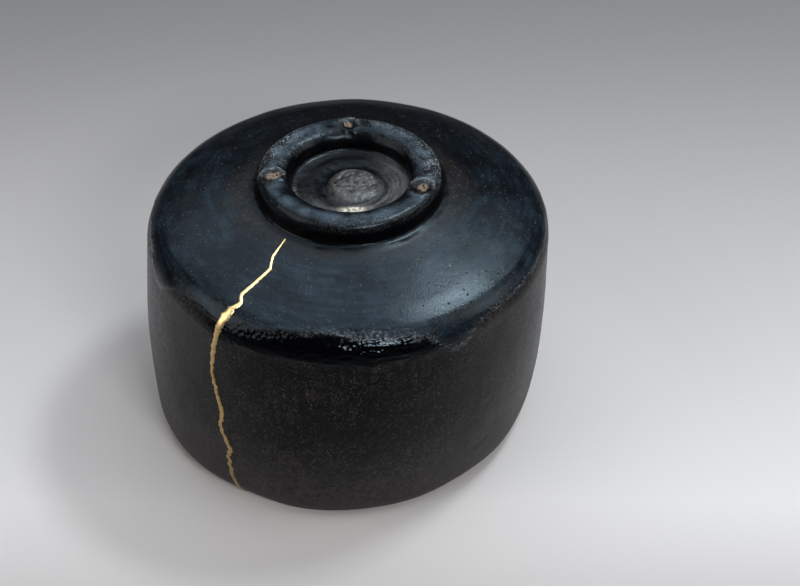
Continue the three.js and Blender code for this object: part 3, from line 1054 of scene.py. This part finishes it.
# Name in StudioLook, then the place of its soft box, its width and height, and its tint.
LAMPS = {
    "sky": ((0.10, 0.10, 0.90), (1.25, 0.90), (0.74, 0.86, 1.0)),
    "corner": ((0.42, 0.46, 0.80), (0.40, 0.40), (0.74, 0.90, 1.0)),
    "left_corner": ((-0.42, 0.62, 0.74), (0.45, 0.40), (0.74, 0.88, 1.0)),
    "key": ((0.335, 0.175, 0.785), (0.15, 0.12), (0.80, 0.91, 1.0)),
    "side": ((0.85, -0.12, 0.60), (0.5, 0.5), (1.0, 0.99, 0.97)),
    "front": ((0.27, -0.68, 0.60), (0.28, 0.12), (0.86, 0.93, 1.0)),
    "room": ((-0.85, -0.25, 0.60), (0.8, 0.8), (1.0, 0.99, 0.98)),
}
LAMP_AIM = Vector((0, 0, 0.05))
ROOM_LIGHT = (0.030, 0.031, 0.033, 1)
BACKDROP = (0.40, 0.40, 0.41, 1)
FLOOR_SIZE = 6
CAMERA_PLACE = (0.01608, -0.50352, 0.46825)
CAMERA_TILT = math.radians(49.55)
LENS, SENSOR_WIDTH = 100, 36  # millimetres


class TEABOWL_OT_studio(bpy.types.Operator):
    """Lay the paper floor, hang the soft lights and set up the camera"""

    bl_idname = "teabowl.studio"
    bl_label = "Studio"

    def execute(self, context):
        look = context.scene.studio_look
        deselect_all()
        bpy.ops.mesh.primitive_plane_add(size=FLOOR_SIZE, location=(0, 0, 0))
        floor = bpy.context.object
        floor.name = "paper_floor"
        floor.data.materials.append(floor_material(look))
        for name, (place, size, tint) in LAMPS.items():
            self.lamp(name.replace("_", " ") + " light", place, size, getattr(look, name), tint)
        self.dim_the_room(context.scene)
        bpy.ops.object.camera_add(location=CAMERA_PLACE, rotation=(CAMERA_TILT, 0, 0))
        camera = bpy.context.object
        camera.data.lens = LENS
        camera.data.sensor_width = SENSOR_WIDTH
        context.scene.camera = camera
        return {"FINISHED"}

    def lamp(self, name, place, size, power, tint):
        """A soft box that faces the bowl."""
        bpy.ops.object.light_add(type="AREA", location=place)
        lamp = bpy.context.object
        lamp.name = name
        lamp.data.shape = "RECTANGLE"
        lamp.data.size, lamp.data.size_y = size
        lamp.data.energy = power
        lamp.data.color = tint
        lamp.rotation_euler = (LAMP_AIM - Vector(place)).to_track_quat("-Z", "Y").to_euler()

    def dim_the_room(self, scene):
        """A dark room for the light that reaches the bowl, and a paler backdrop for the camera."""
        world = bpy.data.worlds.new("dim room")
        world.use_nodes = True
        nodes, links = world.node_tree.nodes, world.node_tree.links
        shade = nodes.new("ShaderNodeMix")
        shade.data_type = "RGBA"
        shade.inputs[6].default_value = ROOM_LIGHT
        shade.inputs[7].default_value = BACKDROP
        seen = nodes.new("ShaderNodeLightPath").outputs["Is Camera Ray"]
        links.new(seen, shade.inputs["Factor"])
        links.new(shade.outputs[2], nodes["Background"].inputs["Color"])
        scene.world = world
        scene.view_settings.view_transform = "Standard"


class TEABOWL_PT_panel(bpy.types.Panel):
    bl_idname = "TEABOWL_PT_panel"
    bl_label = "Mended tea bowl"
    bl_space_type = "VIEW_3D"
    bl_region_type = "UI"
    bl_category = "Tea bowl"

    def draw(self, context):
        for group in ("bowl_sizes", "glaze_colours", "seam_look", "studio_look"):
            settings = getattr(context.scene, group)
            box = self.layout.box()
            for name in settings.__annotations__:
                box.prop(settings, name)
        for operator in OPERATORS:
            self.layout.operator(operator.bl_idname)


OPERATORS = (TEABOWL_OT_body, TEABOWL_OT_seam, TEABOWL_OT_studio)
GROUPS = {
    "bowl_sizes": BowlSizes,
    "glaze_colours": GlazeColours,
    "seam_look": SeamLook,
    "studio_look": StudioLook,
}
CLASSES = (*GROUPS.values(), *OPERATORS, TEABOWL_PT_panel)


def register():
    for cls in CLASSES:
        bpy.utils.register_class(cls)
    for name, group in GROUPS.items():
        setattr(bpy.types.Scene, name, bpy.props.PointerProperty(type=group))


def unregister():
    for name in GROUPS:
        delattr(bpy.types.Scene, name)
    for cls in reversed(CLASSES):
        bpy.utils.unregister_class(cls)


def main():
    register()
    bpy.ops.teabowl.body()
    bpy.ops.teabowl.seam()
    bpy.ops.teabowl.studio()


if __name__ == "__main__":
    main()
